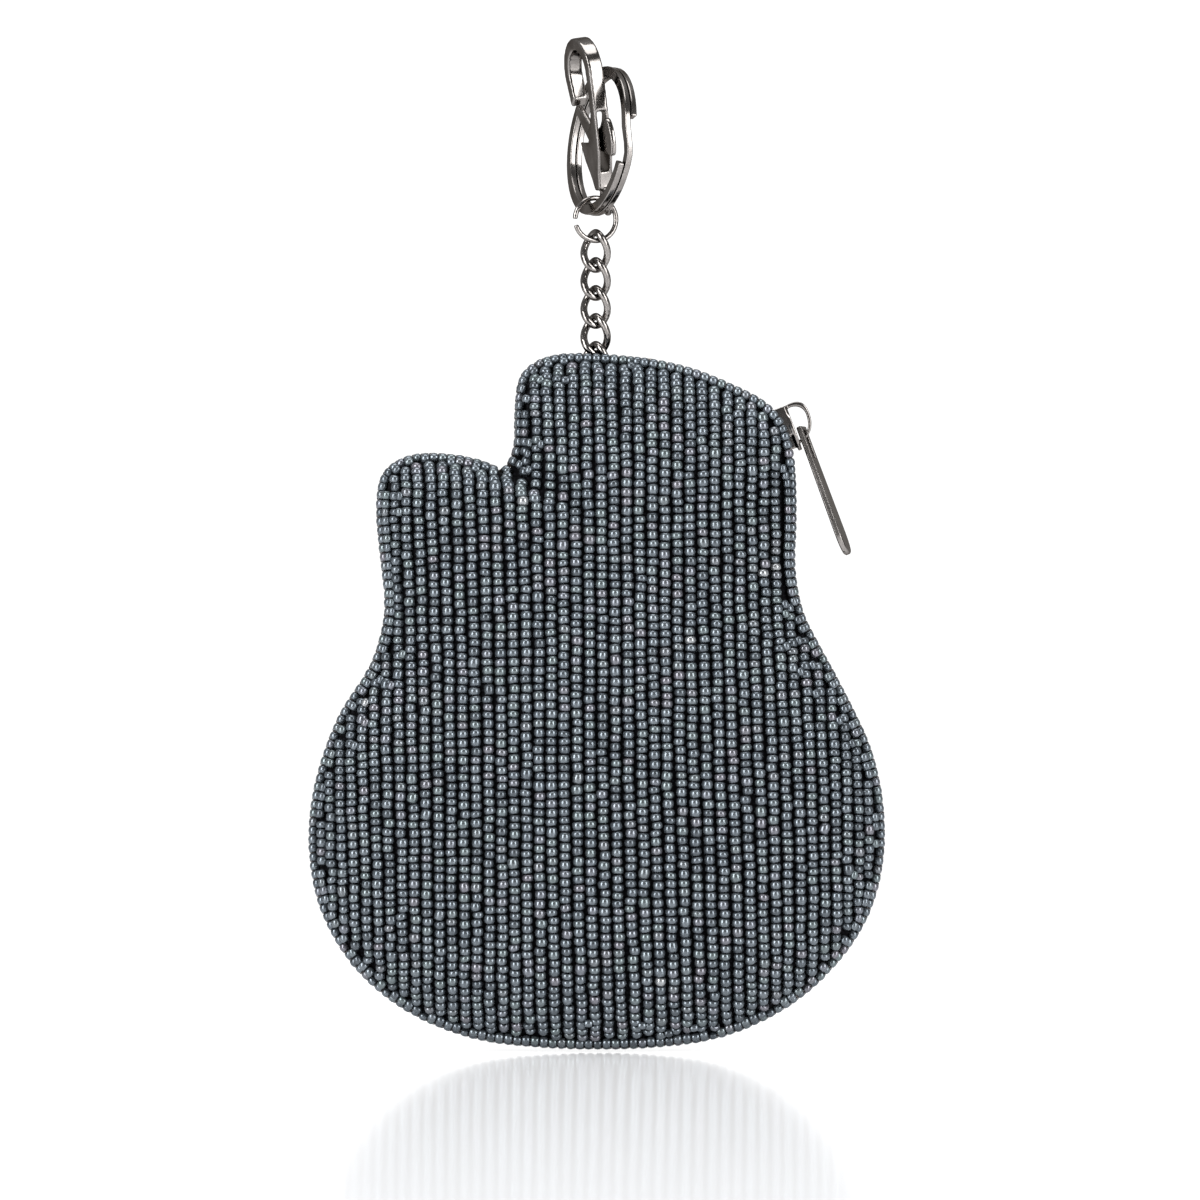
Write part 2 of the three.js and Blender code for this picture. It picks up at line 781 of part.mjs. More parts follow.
const clasp = new THREE.Group();
clasp.rotation.y = degToRad(claspLean);
const claspFrame = new THREE.Group();
claspFrame.rotation.z = degToRad(-claspYaw);
const lever = piece("clasp_lever", claspLever(), looks.metal);
lever.position.z = pivotZ;
claspFrame.add(piece("clasp_body", claspBody(), looks.metal), lever);
clasp.add(claspFrame);
model.add(clasp);

const hanging = new THREE.Group();
hanging.position.copy(jumpCentre);
model.add(hanging);

const jump = piece("jump_ring", jumpRing(), looks.metal);
jump.rotation.z = degToRad(jumpYaw);
hanging.add(jump);

const splitSeat = onJumpRing(splitOnJump);
splitSeat.z -= (splitRadial + jumpWire) / 2 + seatGap + splitPlay;
const keyRing = new THREE.Group();
keyRing.position.copy(splitSeat);
keyRing.rotation.y = degToRad(splitLean);
const split = piece("split_ring", splitRing(), looks.metal);
split.position.z = splitRadius;
split.rotation.z = degToRad(-splitYaw);
keyRing.add(split);
hanging.add(keyRing);

for (let i = 0; i < linkCount; i++) {
  const link = piece(`chain_link_${i + 1}`, curbLink(), looks.metal);
  link.position.z = -firstLinkDrop - i * linkPitch;
  link.rotation.z = degToRad(chainYaw);
  hanging.add(link);
}

const purse = new THREE.Group();
purse.position.z = -purseTopDrop;
purse.add(
  piece("back_panel", panel(-1), looks.beads),
  piece("front_panel", panel(1), looks.darkBeads),
  piece("zip_tape_back", zipTape(-1), looks.tape),
  piece("zip_tape_front", zipTape(1), looks.tape),
  piece("zip_teeth", zipBar(teethStart, teethEnd), looks.coil),
  piece("zip_stop", zipBar(teethStart - seatGap - stopLength, teethStart - seatGap), looks.metal),
  piece("chain_anchor", chainAnchor(), looks.thread),
);
hanging.add(purse);

// The slider stands on the edge, and the pull hangs in its bail
const sliderPlace = edgeFrame(sliderAt);
const sliderGroup = new THREE.Group();
sliderGroup.position.copy(sliderPlace.point);
sliderGroup.rotation.y = Math.atan2(-sliderPlace.forward.z, sliderPlace.forward.x);
sliderGroup.add(piece("zip_slider", slider(), looks.metal));
purse.add(sliderGroup);

const hinge = new THREE.Vector3(hingeAcross, 0, hingeRise)
  .applyEuler(sliderGroup.rotation)
  .add(sliderGroup.position);
const pullTilt = new THREE.Group();
pullTilt.position.copy(hinge);
pullTilt.rotation.z = degToRad(-pullYaw);
const pullTab = piece("zip_pull", pull(), looks.metal);
pullTab.rotation.y = degToRad(-pullLean);
pullTilt.add(pullTab);
purse.add(pullTilt);

export default model;
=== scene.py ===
# Looks for the beaded coin purse: beads on cloth, polished gunmetal, zip, floor and light. Metres.
import itertools
import math
import random

import bmesh
import bpy
from mathutils import Matrix, Vector
from mathutils.bvhtree import BVHTree
from mathutils.kdtree import KDTree


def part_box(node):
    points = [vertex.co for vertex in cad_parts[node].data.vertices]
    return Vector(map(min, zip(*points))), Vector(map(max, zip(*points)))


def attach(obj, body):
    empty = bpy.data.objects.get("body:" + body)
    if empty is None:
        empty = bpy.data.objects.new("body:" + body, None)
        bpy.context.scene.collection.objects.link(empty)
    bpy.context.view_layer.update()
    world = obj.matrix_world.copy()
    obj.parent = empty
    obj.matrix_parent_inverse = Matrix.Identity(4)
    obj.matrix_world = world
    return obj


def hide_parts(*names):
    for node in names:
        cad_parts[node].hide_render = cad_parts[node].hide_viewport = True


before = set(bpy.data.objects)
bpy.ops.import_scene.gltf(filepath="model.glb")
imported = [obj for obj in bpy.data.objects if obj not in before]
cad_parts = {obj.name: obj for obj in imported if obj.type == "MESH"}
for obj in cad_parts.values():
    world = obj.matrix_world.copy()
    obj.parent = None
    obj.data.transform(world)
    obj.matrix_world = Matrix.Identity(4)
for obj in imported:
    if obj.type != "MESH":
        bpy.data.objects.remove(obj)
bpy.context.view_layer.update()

MM = 0.001
rng = random.Random(7)

# The photograph's frame at the purse's plane
PHOTO_WIDTH = 200 * MM
PHOTO_MIDDLE = Vector((3.33 * MM, 0, -91.67 * MM))
CAMERA_DISTANCE = 1.3
SENSOR = 36

# Beads
BEAD_RADIUS = 1.0 * MM
BEAD_LENGTH = 1.42 * MM
BEAD_GAP = 0.08 * MM
HOLE_RADIUS = 0.36 * MM
COLUMN_PITCH = 2.16 * MM
COLUMN_DRIFT = 0.018  # rightwards for each metre down
COLUMN_WANDER = 0.3 * MM
FLANK_DEPTHS = [depth * MM for depth in (2.7, 4.4, 6.1, 7.8, 9.5)]  # from the rim, up a steep flank
FILLER_INSETS = [inset * MM for inset in (2.5, 4.4)]  # from the outline to beads that close wide gaps
# Radius of a filler, and its least distance to any other bead
FILLER_SIZES = ((0.84 * MM, 1.5 * MM), (0.68 * MM, 1.28 * MM))
FILLER_SUNK = 0.7  # share of its radius that a filler lies under the panel's surface
FILLER_STEP = 0.97  # least distance between fillers of a row, as a share of the edge row's step
EDGE_MARGIN = 1.55 * MM  # from the outline to the ends of the columns
STEEPEST = 0.1  # least share of the surface's normal that points at the viewer
COUNTED_LEVEL = 0.3  # share of the height, from below, where the columns are laid out
LEAST_PITCH = 0.55  # share of the pitch between columns on a steep flank
DRIFT_START = 60 * MM  # from the top down to where a column's lean crosses its start
SWAY_DOWN = 19 * MM
SWAY_ACROSS = 11 * MM
COLUMN_STEP = 0.3 * MM  # down a column, where no bead fits
LEAST_FALL = 0.05
BEAD_SHIFT = 0.09 * MM  # how far beads sit out of their column's line
BEAD_TILT = 0.1
BEAD_NOD = 0.04
BEAD_SINK = 0.12 * MM
BEAD_LENGTHS = (0.8, 1.14)  # shares of the usual length
BEAD_RADII = (0.91, 1.04)  # shares of the usual radius
ODD_BEADS = 0.035  # share of longer beads that stand askew
ODD_LENGTHS = (1.12, 1.4)
ODD_TILT = 0.28
EDGE_RADIUS = 0.86 * MM
EDGE_LIFT = 0.95 * MM  # from the rim to the edge row's middle, away from the seam
EDGE_INSET = 1.02  # radii from the outline to the edge row's middle
EDGE_TILT = 0.05
EDGE_LENGTHS = (0.9, 1.02)
EDGE_RADII = (0.94, 1.0)
CLOTH_DEPTH = 1.5 * MM  # from the tops of the beads to the cloth
SPINE_SHARES = (0.24, 0.76)  # of the height: the purse's middle line, from the top

# Places on a bead's colour ramp
SILVER_BEADS = 0.001  # share of bright beads
SILVER_TINT = (1.0, 0.2)
TINT_MIDDLE = 0.48
TINT_SPREAD = 0.25
ODD_TINT = 0.1
TINT_LIMIT = 0.93

# Slants that tell a panel's wall from its flat rim
WALL_SLANT = 0.5
RIM_SLANT = 0.06
FLANK_REACH = 6 * MM
INWARD_TEST = 2 * MM

# Metal and zip
LINK_WIRE = 1.17 * MM
LINK_SWELL = 0.1
JUMP_WIRE = 0.85 * MM
JUMP_SWELL = 0.055
FLAT_ANGLE = math.radians(1.5)
BEVEL_ANGLE = math.radians(35)
BEVEL_SEGMENTS = 3
WORN_SHARE = 0.5
WORN_TIMES = 26
TOOTH_DEPTH = 0.7 * MM  # from the edge to the middle of a tooth
TOOTH_ACROSS = 0.9 * MM
TOOTH_WIDTH = 2.2 * MM
TOOTH_LENGTH = 0.42  # share of the step along the zip
TOOTH_HEIGHT = 0.94  # share of twice its depth
TOOTH_ROUNDING = 0.2 * MM

# Studio
FLOOR_REACH = 3.0
FLOOR_GAP = 0.3 * MM
STUDIO_STRENGTH = 1.12

purse_body = "purse"
seam_y = (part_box("back_panel")[1][1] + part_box("front_panel")[0][1]) / 2
purse_low, purse_high = (Vector(corner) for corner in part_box("back_panel"))
purse_middle = (purse_low.x + purse_high.x) / 2


def link_object(name, mesh):
    made = bpy.data.objects.new(name, mesh)
    bpy.context.scene.collection.objects.link(made)
    return made


def smooth_faces(mesh):
    mesh.polygons.foreach_set("use_smooth", [True] * len(mesh.polygons))


def merged_copy(node):
    """A bmesh of a node with its corners joined."""
    work = bmesh.new()
    work.from_mesh(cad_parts[node].data)
    bmesh.ops.remove_doubles(work, verts=work.verts, dist=0.002 * MM)
    work.normal_update()
    return work


# Materials


class Shader:
    """A material whose nodes are made and joined in short calls."""

    def __init__(self, name, **sockets):
        self.material = bpy.data.materials.new(name)
        self.material.use_nodes = True
        self.tree = self.material.node_tree
        self.surface = self.tree.nodes["Principled BSDF"]
        for socket, value in sockets.items():
            self.surface.inputs[socket.replace("_", " ")].default_value = value

    def node(self, kind, **settings):
        made = self.tree.nodes.new(kind)
        for name, value in settings.items():
            if hasattr(made, name):
                setattr(made, name, value)
            else:
                made.inputs[name.replace("_", " ")].default_value = value
        return made

    def join(self, start, end):
        self.tree.links.new(start, end)

    def where(self):
        return self.node("ShaderNodeTexCoord").outputs["Object"]

    def noise(self, scale, detail=3.0):
        made = self.node("ShaderNodeTexNoise", Scale=scale, Detail=detail)
        self.join(self.where(), made.inputs["Vector"])
        return made.outputs["Fac"]

    def ramp(self, source, stops):
        made = self.node("ShaderNodeValToRGB")
        elements = made.color_ramp.elements
        while len(elements) < len(stops):
            elements.new(0.5)
        for element, (position, colour) in zip(elements, stops):
            element.position = position
            element.color = (*colour, 1)
        self.join(source, made.inputs["Fac"])
        return made.outputs["Color"]

    def bump(self, source, strength, distance):
        made = self.node("ShaderNodeBump", Strength=strength, Distance=distance)
        self.join(source, made.inputs["Height"])
        self.join(made.outputs["Normal"], self.surface.inputs["Normal"])

    def colour(self, source):
        self.join(source, self.surface.inputs["Base Color"])

    def roughness(self, source, low, high):
        made = self.node("ShaderNodeMapRange")
        made.inputs["To Min"].default_value = low
        made.inputs["To Max"].default_value = high
        self.join(source, made.inputs["Value"])
        self.join(made.outputs["Result"], self.surface.inputs["Roughness"])


def bead_material(name, stops, metallic, low, high):
    shader = Shader(
        name,
        Metallic=metallic,
        Coat_Weight=0.22,
        Coat_Roughness=0.15,
        Specular_Tint=(0.4, 0.43, 0.46, 1),
    )
    tint = shader.node("ShaderNodeAttribute", attribute_name="tint")
    parts = shader.node("ShaderNodeSeparateColor")
    shader.join(tint.outputs["Color"], parts.inputs["Color"])
    shader.colour(shader.ramp(parts.outputs["Red"], stops))
    shader.roughness(parts.outputs["Green"], low, high)
    shader.bump(shader.noise(900), 0.12, 0.05 * MM)
    return shader.material


def metal_material():
    shader = Shader("gunmetal", Metallic=1.0, Specular_Tint=(0.3, 0.29, 0.28, 1))
    wear = shader.noise(260, 5)
    shader.colour(shader.ramp(wear, [(0.3, (0.15, 0.14, 0.133)), (0.7, (0.26, 0.245, 0.235))]))
    shader.roughness(shader.noise(400, 4), 0.1, 0.2)
    shader.bump(shader.noise(1200, 4), 0.03, 0.02 * MM)
    return shader.material


def weave_material(name, dark, light, threads):
    """Plain weave of crossing threads, with a fuzz of noise."""
    shader = Shader(name, Roughness=0.95, Specular_IOR_Level=0.1)
    place = shader.where()
    waves = []
    for direction in ("X", "Z"):
        wave = shader.node("ShaderNodeTexWave", bands_direction=direction, Scale=threads, Distortion=0.6)
        shader.join(place, wave.inputs["Vector"])
        waves.append(wave.outputs["Fac"])
    weave = shader.node("ShaderNodeMath", operation="MULTIPLY")
    shader.join(waves[0], weave.inputs[0])
    shader.join(waves[1], weave.inputs[1])
    shader.colour(shader.ramp(weave.outputs["Value"], [(0.0, dark), (1.0, light)]))
    shader.bump(weave.outputs["Value"], 0.5, 0.12 * MM)
    return shader.material


gunmetal_beads = bead_material(
    "gunmetal_beads",
    [
        (0.0, (0.06, 0.07, 0.08)),
        (0.3, (0.09, 0.105, 0.12)),
        (0.55, (0.115, 0.132, 0.148)),
        (0.72, (0.108, 0.131, 0.137)),
        (0.86, (0.127, 0.125, 0.143)),
        (0.96, (0.12, 0.135, 0.155)),
        (1.0, (0.24, 0.25, 0.26)),
    ],
    metallic=0.65,
    low=0.12,
    high=0.26,
)
brown_beads = bead_material(
    "brown_beads",
    [
        (0.0, (0.012, 0.010, 0.010)),
        (0.6, (0.035, 0.028, 0.026)),
        (1.0, (0.10, 0.085, 0.08)),
    ],
    metallic=0.55,
    low=0.14,
    high=0.3,
)
gunmetal = metal_material()
black_cloth = weave_material("black_cloth", (0.001, 0.001, 0.0015), (0.006, 0.006, 0.008), 420)
tape_cloth = weave_material("tape_cloth", (0.01, 0.01, 0.012), (0.05, 0.05, 0.055), 520)
coil_plastic = Shader("coil_plastic", Roughness=0.35, Coat_Weight=0.2)
coil_stops = [(0.3, (0.012, 0.012, 0.014)), (0.8, (0.05, 0.05, 0.055))]
coil_plastic.colour(coil_plastic.ramp(coil_plastic.noise(900), coil_stops))
coil_plastic.bump(coil_plastic.noise(2600), 0.2, 0.04 * MM)
thread_cloth = weave_material("thread_cloth", (0.008, 0.008, 0.01), (0.05, 0.05, 0.055), 1400)


# Beads, many of them joined in one mesh


def bead_shape(sides, profile):
    """A barrel round the local Z axis, as unit radius and unit half length, with an open hole."""
    points = []
    for reach, height in profile:
        for i in range(sides):
            turn = 2 * math.pi * i / sides
            points.append(Vector((reach * math.cos(turn), reach * math.sin(turn), height)))
    faces = []
    for row in range(len(profile) - 1):
        for i in range(sides):
            j = (i + 1) % sides
            faces.append((row * sides + i, row * sides + j, (row + 1) * sides + j, (row + 1) * sides + i))
    return points, faces


HOLE_SHARE = HOLE_RADIUS / BEAD_RADIUS
# Reach and height along a bead's wall, from one end of its hole to the other
FINE_WALL = [(0.58, -1.0), (0.88, -0.7), (1.0, 0.0), (0.88, 0.7), (0.58, 1.0)]
PLAIN_WALL = [(0.72, -1.0), (1.0, -0.45), (1.0, 0.45), (0.72, 1.0)]
FINE_BEAD = bead_shape(12, [(HOLE_SHARE, -0.78), *FINE_WALL, (HOLE_SHARE, 0.78)])
PLAIN_BEAD = bead_shape(9, [(HOLE_SHARE, -0.85), *PLAIN_WALL, (HOLE_SHARE, 0.85)])


class Bead:
    """One bead's centre, axis, outward direction, sizes and tint."""

    def __init__(self, centre, axis, out, length, radius, tint):
        self.centre = centre
        self.axis = axis.normalized()
        self.side = self.axis.cross(out).normalized()
        self.out = self.side.cross(self.axis)
        self.length = length
        self.radius = radius
        self.tint = tint


def tint_of(odd):
    if rng.random() < SILVER_BEADS:
        return SILVER_TINT
    value = rng.gauss(TINT_MIDDLE, TINT_SPREAD) + (ODD_TINT if odd else 0.0)
    value = min(TINT_LIMIT, max(0.0, value))
    return (value, rng.random())


def bead_mesh(name, beads, shape, material, slot):
    points, faces = shape
    vertices, polygons, tints = [], [], []
    for bead in beads:
        start = len(vertices)
        for p in points:
            vertices.append(
                bead.centre
                + bead.side * (p.x * bead.radius)
                + bead.out * (p.y * bead.radius)
                + bead.axis * (p.z * bead.length / 2)
            )
        polygons.extend([tuple(start + i for i in face) for face in faces])
        tints.extend([bead.tint] * len(points))
    mesh = bpy.data.meshes.new(name)
    mesh.from_pydata(vertices, [], polygons)
    colours = mesh.attributes.new("tint", "FLOAT_COLOR", "POINT")
    colours.data.foreach_set("color", [c for red, green in tints for c in (red, green, 0.0, 1.0)])
    smooth_faces(mesh)
    mesh.materials.append(material)
    made = link_object(name, mesh)
    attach(made, purse_body)


class Face:
    """One face of the purse: where a bead may lie on it, and which way its surface looks."""

    def __init__(self, node, side):
        self.side = side
        work = merged_copy(node)
        work.verts.ensure_lookup_table()
        self.places = [v.co.copy() for v in work.verts]
        self.normals = [v.normal.copy() for v in work.verts]
        bmesh.ops.triangulate(work, faces=work.faces)
        self.corners = [tuple(v.index for v in f.verts) for f in work.faces]
        self.tree = BVHTree.FromPolygons(self.places, self.corners)
        self.rim = self.outer_rim(work)
        work.free()

    def outer_rim(self, work):
        """The loop where the outer surface meets the flat rim at the seam, in order."""
        ways = {}
        for edge in work.edges:
            slants = sorted(-self.side * f.normal.y for f in edge.link_faces)
            if len(slants) == 2 and slants[1] > WALL_SLANT and slants[0] < RIM_SLANT:
                a, b = (v.index for v in edge.verts)
                ways.setdefault(a, []).append(b)
                ways.setdefault(b, []).append(a)
        unseen = set(ways)
        loops = []
        while unseen:
            loop = [unseen.pop()]
            while following := [v for v in ways[loop[-1]] if v in unseen]:
                loop.append(following[0])
                unseen.discard(following[0])
            loops.append(loop)
        return [self.places[v] for v in max(loops, key=len)]

    def hit(self, x, z):
        """The outer surface at x and z, and its normal, or nothing beside the purse."""
        start = Vector((x, self.side, z))
        place, _, triangle, _ = self.tree.ray_cast(start, Vector((0, -self.side, 0)))
        if place is None:
            return None
        a, b, c = self.corners[triangle]
        pa, pb, pc = self.places[a], self.places[b], self.places[c]
        whole = (pb - pa).cross(pc - pa)
        area = whole.dot(whole)
        if area == 0:
            return None
        share_a = (pb - place).cross(pc - place).dot(whole) / area
        share_b = (pc - place).cross(pa - place).dot(whole) / area
        share_c = 1 - share_a - share_b
        normal = self.normals[a] * share_a + self.normals[b] * share_b + self.normals[c] * share_c
        return place, normal.normalized()

    def flank(self, place, inward, depth):
        """The outer surface straight inward from the outline, at a depth beyond the rim."""
        start = place - inward * MM
        start.y += self.side * depth
        found, normal, _, _ = self.tree.ray_cast(start, inward, FLANK_REACH)
        if found is None or normal.dot(inward) > 0:
            return None
        return found, normal

    def well_inside(self, x, z, margin):
        ring = [(math.cos(t * math.pi / 4) * margin, math.sin(t * math.pi / 4) * margin) for t in range(8)]
        return all(self.hit(x + dx, z + dz) for dx, dz in ring)


def column_places(face):
    """Where the columns cross the widest level, one pitch apart along the surface."""
    level = purse_low.z + COUNTED_LEVEL * (purse_high.z - purse_low.z)
    places = []
    for way in (-1, 1):
        x = purse_middle + (COLUMN_PITCH / 2 if way > 0 else -COLUMN_PITCH / 2)
        while True:
            found = face.hit(x, level)
            if not found:
                break
            places.append(x)
            x += way * COLUMN_PITCH * max(LEAST_PITCH, abs(found[1].y))
    return sorted(places)


def drift(x, z):
    """Where a column has got to at a height: all lean and sway alike, so that none part."""
    fall = purse_high.z - z
    sway = COLUMN_WANDER * math.sin(fall / SWAY_DOWN + x / SWAY_ACROSS)
    return x + COLUMN_DRIFT * (fall - DRIFT_START) + sway


def column(face, x_start):
    beads = []
    z = purse_high.z + rng.uniform(0, BEAD_LENGTH)
    while z > purse_low.z:
        odd = rng.random() < ODD_BEADS
        length = BEAD_LENGTH * rng.uniform(*(ODD_LENGTHS if odd else BEAD_LENGTHS))
        middle = z - length / 2
        x = drift(x_start, middle)
        found = face.hit(x, middle)
        if not found or abs(found[1].y) < STEEPEST or not face.well_inside(x, middle, EDGE_MARGIN):
            z -= COLUMN_STEP
            continue
        place, normal = found
        place.x += rng.gauss(0, BEAD_SHIFT)
        radius = BEAD_RADIUS * rng.uniform(*BEAD_RADII)
        axis = Vector((rng.gauss(0, BEAD_TILT), 0, -1))
        if odd:
            axis.x += rng.uniform(-ODD_TILT, ODD_TILT)
        axis -= normal * (axis.dot(normal) + rng.gauss(0, BEAD_NOD))
        sunk = radius + rng.uniform(0, BEAD_SINK)
        beads.append(Bead(place - normal * sunk, axis, normal, length, radius, tint_of(odd)))
        z -= (length + BEAD_GAP) * math.sqrt(max(LEAST_FALL, 1 - normal.z**2))
    return beads


def rim_stations(face):
    """Places one bead apart along a face's outer rim, with the ways forward and inward."""
    rim = face.rim
    count = len(rim)
    lengths = [(rim[(i + 1) % count] - rim[i]).length for i in range(count)]
    number = round(sum(lengths) / (BEAD_LENGTH + BEAD_GAP))
    step = sum(lengths) / number
    index, used = 0, 0.0
    for i in range(number):
        while used + lengths[index] < i * step:
            used += lengths[index]
            index += 1
        place = rim[index].lerp(rim[(index + 1) % count], (i * step - used) / lengths[index])
        forward = rim[(index + 3) % count] - rim[index - 2]
        forward.y = 0
        forward.normalize()
        inward = Vector((forward.z, 0, -forward.x))
        if not face.hit(*(place + inward * INWARD_TEST).xz):
            inward.negate()
        yield place, forward, inward, step


def edge_row(face):
    """Beads laid end to end along a face's outer rim."""
    beads = []
    for place, forward, inward, step in rim_stations(face):
        centre = place + inward * EDGE_RADIUS * EDGE_INSET
        centre.y += face.side * EDGE_LIFT
        axis = forward + Vector([rng.gauss(0, EDGE_TILT) for _ in range(3)])
        length = (step - BEAD_GAP) * rng.uniform(*EDGE_LENGTHS)
        radius = EDGE_RADIUS * rng.uniform(*EDGE_RADII)
        beads.append(Bead(centre, axis, -inward, length, radius, tint_of(False)))
    return beads


def fillers(face, beads):
    """Beads beside the edge row wherever the columns leave a wide gap."""
    rows = [lambda place, inward, far=far: face.flank(place, inward, far) for far in FLANK_DEPTHS]
    rows += [lambda place, inward, far=far: face.hit(*(place + inward * far).xz) for far in FILLER_INSETS]
    added = []
    for (radius, room), surface_at in itertools.product(FILLER_SIZES, rows):
        others = KDTree(len(beads) + len(added))
        for i, bead in enumerate(beads + added):
            others.insert(bead.centre, i)
        others.balance()
        last = None
        for place, forward, inward, step in rim_stations(face):
            found = surface_at(place, inward)
            if not found:
                continue
            centre = found[0] - found[1] * radius * FILLER_SUNK
            if others.find(centre)[2] < room or (last and (last - centre).length < step * FILLER_STEP):
                continue
            last = centre
            added.append(Bead(centre, forward, found[1], step - BEAD_GAP, radius, tint_of(False)))
    return added


def cloth_shell(node, name):
    """The panel's own form with its outside drawn in under the beads."""
    work = merged_copy(node)
    spine_top, spine_bottom = (
        purse_high.z - share * (purse_high.z - purse_low.z) for share in SPINE_SHARES
    )
    moved = {}
    for v in work.verts:
        spine = Vector((purse_middle, seam_y, min(spine_top, max(spine_bottom, v.co.z))))
        if v.normal.dot(v.co - spine) > 0:
            moved[v] = v.co - v.normal * CLOTH_DEPTH
    for v, place in moved.items():
        v.co = place
    mesh = bpy.data.meshes.new(name)
    work.to_mesh(mesh)
    work.free()
    smooth_faces(mesh)
    mesh.materials.clear()
    mesh.materials.append(black_cloth)
    made = link_object(name, mesh)
    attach(made, purse_body)
    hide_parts(node)


def split_list(items, parts):
    size = math.ceil(len(items) / parts)
    return [items[i : i + size] for i in range(0, len(items), size)]


back_face = Face("back_panel", -1)
front_face = Face("front_panel", 1)
cloth_shell("back_panel", "back_cloth")
cloth_shell("front_panel", "front_cloth")
for face, name, shape, material, slot, parts in (
    (back_face, "back_beads", FINE_BEAD, gunmetal_beads, "beads", 3),
    (front_face, "front_beads", PLAIN_BEAD, brown_beads, "dark_beads", 2),
):
    beads = [bead for x in column_places(face) for bead in column(face, x)]
    edge = edge_row(face)
    beads += fillers(face, beads + edge)
    for number, group in enumerate(split_list(beads, parts), 1):
        bead_mesh(f"{name}_{number}", group, shape, material, slot)
    bead_mesh(name.replace("beads", "edge_beads"), edge, shape, material, slot)


# Metal


def dressed(node, material, width=0.0, swell=0.0, levels=0, cast=0.0, body=purse_body):
    """A node's form again with rounded edges or rounded sections, standing for the node."""
    work = merged_copy(node)
    if swell:
        for v in work.verts:
            v.co += v.normal * swell
    if width:
        bmesh.ops.dissolve_limit(work, angle_limit=FLAT_ANGLE, verts=work.verts, edges=work.edges)
    mesh = bpy.data.meshes.new(f"{node}_finish")
    work.to_mesh(mesh)
    work.free()
    mesh.materials.clear()
    mesh.materials.append(material)
    smooth_faces(mesh)
    made = link_object(f"{node}_finish", mesh)
    if width:
        bevel = made.modifiers.new("rounded", "BEVEL")
        bevel.width = width
        bevel.segments = BEVEL_SEGMENTS
        bevel.limit_method = "ANGLE"
        bevel.angle_limit = BEVEL_ANGLE
        bevel.harden_normals = True
        normals = made.modifiers.new("normals", "WEIGHTED_NORMAL")
        normals.keep_sharp = True
    if cast:
        remesh = made.modifiers.new("cast", "REMESH")
        remesh.mode = "VOXEL"
        remesh.voxel_size = cast
        remesh.use_smooth_shade = True
        worn = made.modifiers.new("worn", "SMOOTH")
        worn.factor = WORN_SHARE
        worn.iterations = WORN_TIMES
    if levels:
        subdivision = made.modifiers.new("rounder", "SUBSURF")
        subdivision.levels = levels
        subdivision.render_levels = levels
    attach(made, body)
    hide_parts(node)


for number in range(1, 6):
    dressed(f"chain_link_{number}", gunmetal, swell=LINK_SWELL * LINK_WIRE, levels=2)
dressed("jump_ring", gunmetal, swell=JUMP_SWELL * JUMP_WIRE, levels=2)
dressed("split_ring", gunmetal, width=0.22 * MM)
dressed("clasp_body", gunmetal, cast=0.15 * MM)
dressed("clasp_lever", gunmetal, cast=0.11 * MM, body="lever")
dressed("zip_pull", gunmetal, width=0.22 * MM, body="pull")
dressed("zip_slider", gunmetal, cast=0.09 * MM)
dressed("zip_stop", gunmetal, width=0.25 * MM)
dressed("zip_tape_back", tape_cloth, width=0.2 * MM)
dressed("zip_tape_front", tape_cloth, width=0.2 * MM)


def coil_teeth():
    """Two rows of rounded teeth that reach past each other along the closed zip."""
    bar = merged_copy("zip_teeth")
    tree = BVHTree.FromBMesh(bar)
    bar.free()
    work = bmesh.new()
    for place, forward, inward, step in rim_stations(back_face):
        middle = Vector((place.x, seam_y, place.z)) + inward * TOOTH_DEPTH
        nearest, normal, _, _ = tree.find_nearest(middle)
        if (middle - nearest).dot(normal) > 0:
            continue
        for way in (-1, 1):
            centre = middle + forward * (way * step / 4) + Vector((0, way * TOOTH_ACROSS, 0))
            turn = Matrix((forward, Vector((0, 1, 0)), inward)).transposed().to_4x4()
            size = Matrix.Diagonal((step * TOOTH_LENGTH, TOOTH_WIDTH, 2 * TOOTH_DEPTH * TOOTH_HEIGHT, 1))
            bmesh.ops.create_cube(work, size=1, matrix=Matrix.Translation(centre) @ turn @ size)
    bmesh.ops.recalc_face_normals(work, faces=work.faces)
    mesh = bpy.data.meshes.new("coil_teeth")
    work.to_mesh(mesh)
    work.free()
    smooth_faces(mesh)
    mesh.materials.append(coil_plastic.material)
    made = link_object("coil_teeth", mesh)
    rounded = made.modifiers.new("rounded", "BEVEL")
    rounded.width = TOOTH_ROUNDING
    rounded.segments = BEVEL_SEGMENTS
    rounded.harden_normals = True
    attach(made, purse_body)
    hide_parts("zip_teeth")


coil_teeth()
dressed("chain_anchor", thread_cloth, levels=1)


# Floor, light and camera

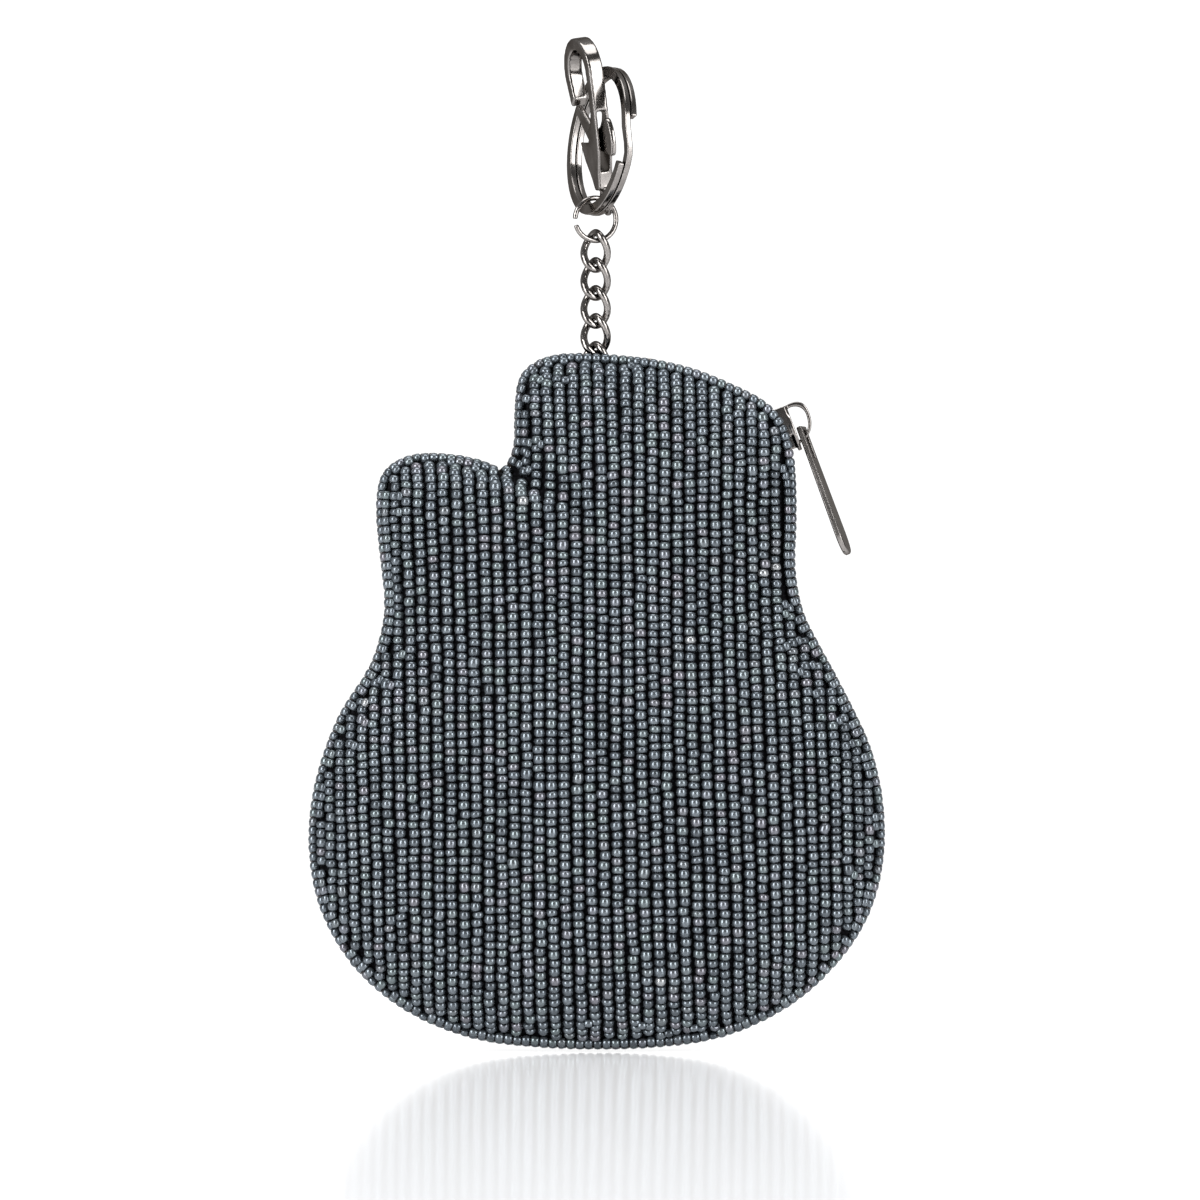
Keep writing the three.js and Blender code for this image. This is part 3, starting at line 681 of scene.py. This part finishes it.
floor_mesh = bpy.data.meshes.new("floor")
floor_z = purse_low.z - FLOOR_GAP
corners = ((-1, -1), (1, -1), (1, 1), (-1, 1))
floor_mesh.from_pydata([(x * FLOOR_REACH, y * FLOOR_REACH, floor_z) for x, y in corners], [], [(0, 1, 2, 3)])
floor = link_object("floor", floor_mesh)
floor_shader = Shader(
    "floor_pale",
    Base_Color=(0.93, 0.93, 0.94, 1),
    Roughness=0.11,
    Emission_Color=(1, 1, 1, 1),
    Emission_Strength=0.12,
)
floor_shader.bump(floor_shader.noise(3), 0.02, 0.1 * MM)
floor_mesh.materials.append(floor_shader.material)


def soft_light(name, place, aim, size, power):
    light = bpy.data.lights.new(name, "AREA")
    light.shape = "RECTANGLE"
    light.size, light.size_y = size
    light.energy = power
    made = link_object(name, light)
    made.location = place
    made.rotation_euler = (Vector(aim) - Vector(place)).to_track_quat("-Z", "Y").to_euler()


middle = (0.003, 0, -0.1)
soft_light("key_left", (-0.7, -0.75, 0.25), middle, (0.5, 0.9), 15)
soft_light("key_right", (0.75, -0.7, 0.2), middle, (0.5, 0.9), 12)
soft_light("top", (0, -0.1, 0.9), middle, (0.8, 0.6), 8)

world = bpy.data.worlds.new("studio")
bpy.context.scene.world = world
bpy.context.scene.view_settings.view_transform = "Standard"
world.use_nodes = True
tree = world.node_tree
background = tree.nodes["Background"]
directions = tree.nodes.new("ShaderNodeTexCoord")
split = tree.nodes.new("ShaderNodeSeparateXYZ")
ramp = tree.nodes.new("ShaderNodeValToRGB")
stops = ((0.4, 0.18), (0.62, 0.5), (0.9, 0.55), (0.97, 1.0))
elements = ramp.color_ramp.elements
while len(elements) < len(stops):
    elements.new(0.5)
for element, (position, grey) in zip(elements, stops):
    element.position = position
    element.color = (grey, grey, grey, 1)
remap = tree.nodes.new("ShaderNodeMapRange")
remap.inputs["From Min"].default_value = -1
tree.links.new(directions.outputs["Generated"], split.inputs["Vector"])
tree.links.new(split.outputs["Y"], remap.inputs["Value"])
tree.links.new(remap.outputs["Result"], ramp.inputs["Fac"])
tree.links.new(ramp.outputs["Color"], background.inputs["Color"])
background.inputs["Strength"].default_value = STUDIO_STRENGTH

camera = bpy.data.cameras.new("camera")
camera.sensor_width = SENSOR
camera.lens = SENSOR * CAMERA_DISTANCE / PHOTO_WIDTH
camera_object = link_object("camera", camera)
camera_object.location = PHOTO_MIDDLE + Vector((0, -CAMERA_DISTANCE, 0))
camera_object.rotation_euler = (math.pi / 2, 0, 0)
bpy.context.scene.camera = camera_object
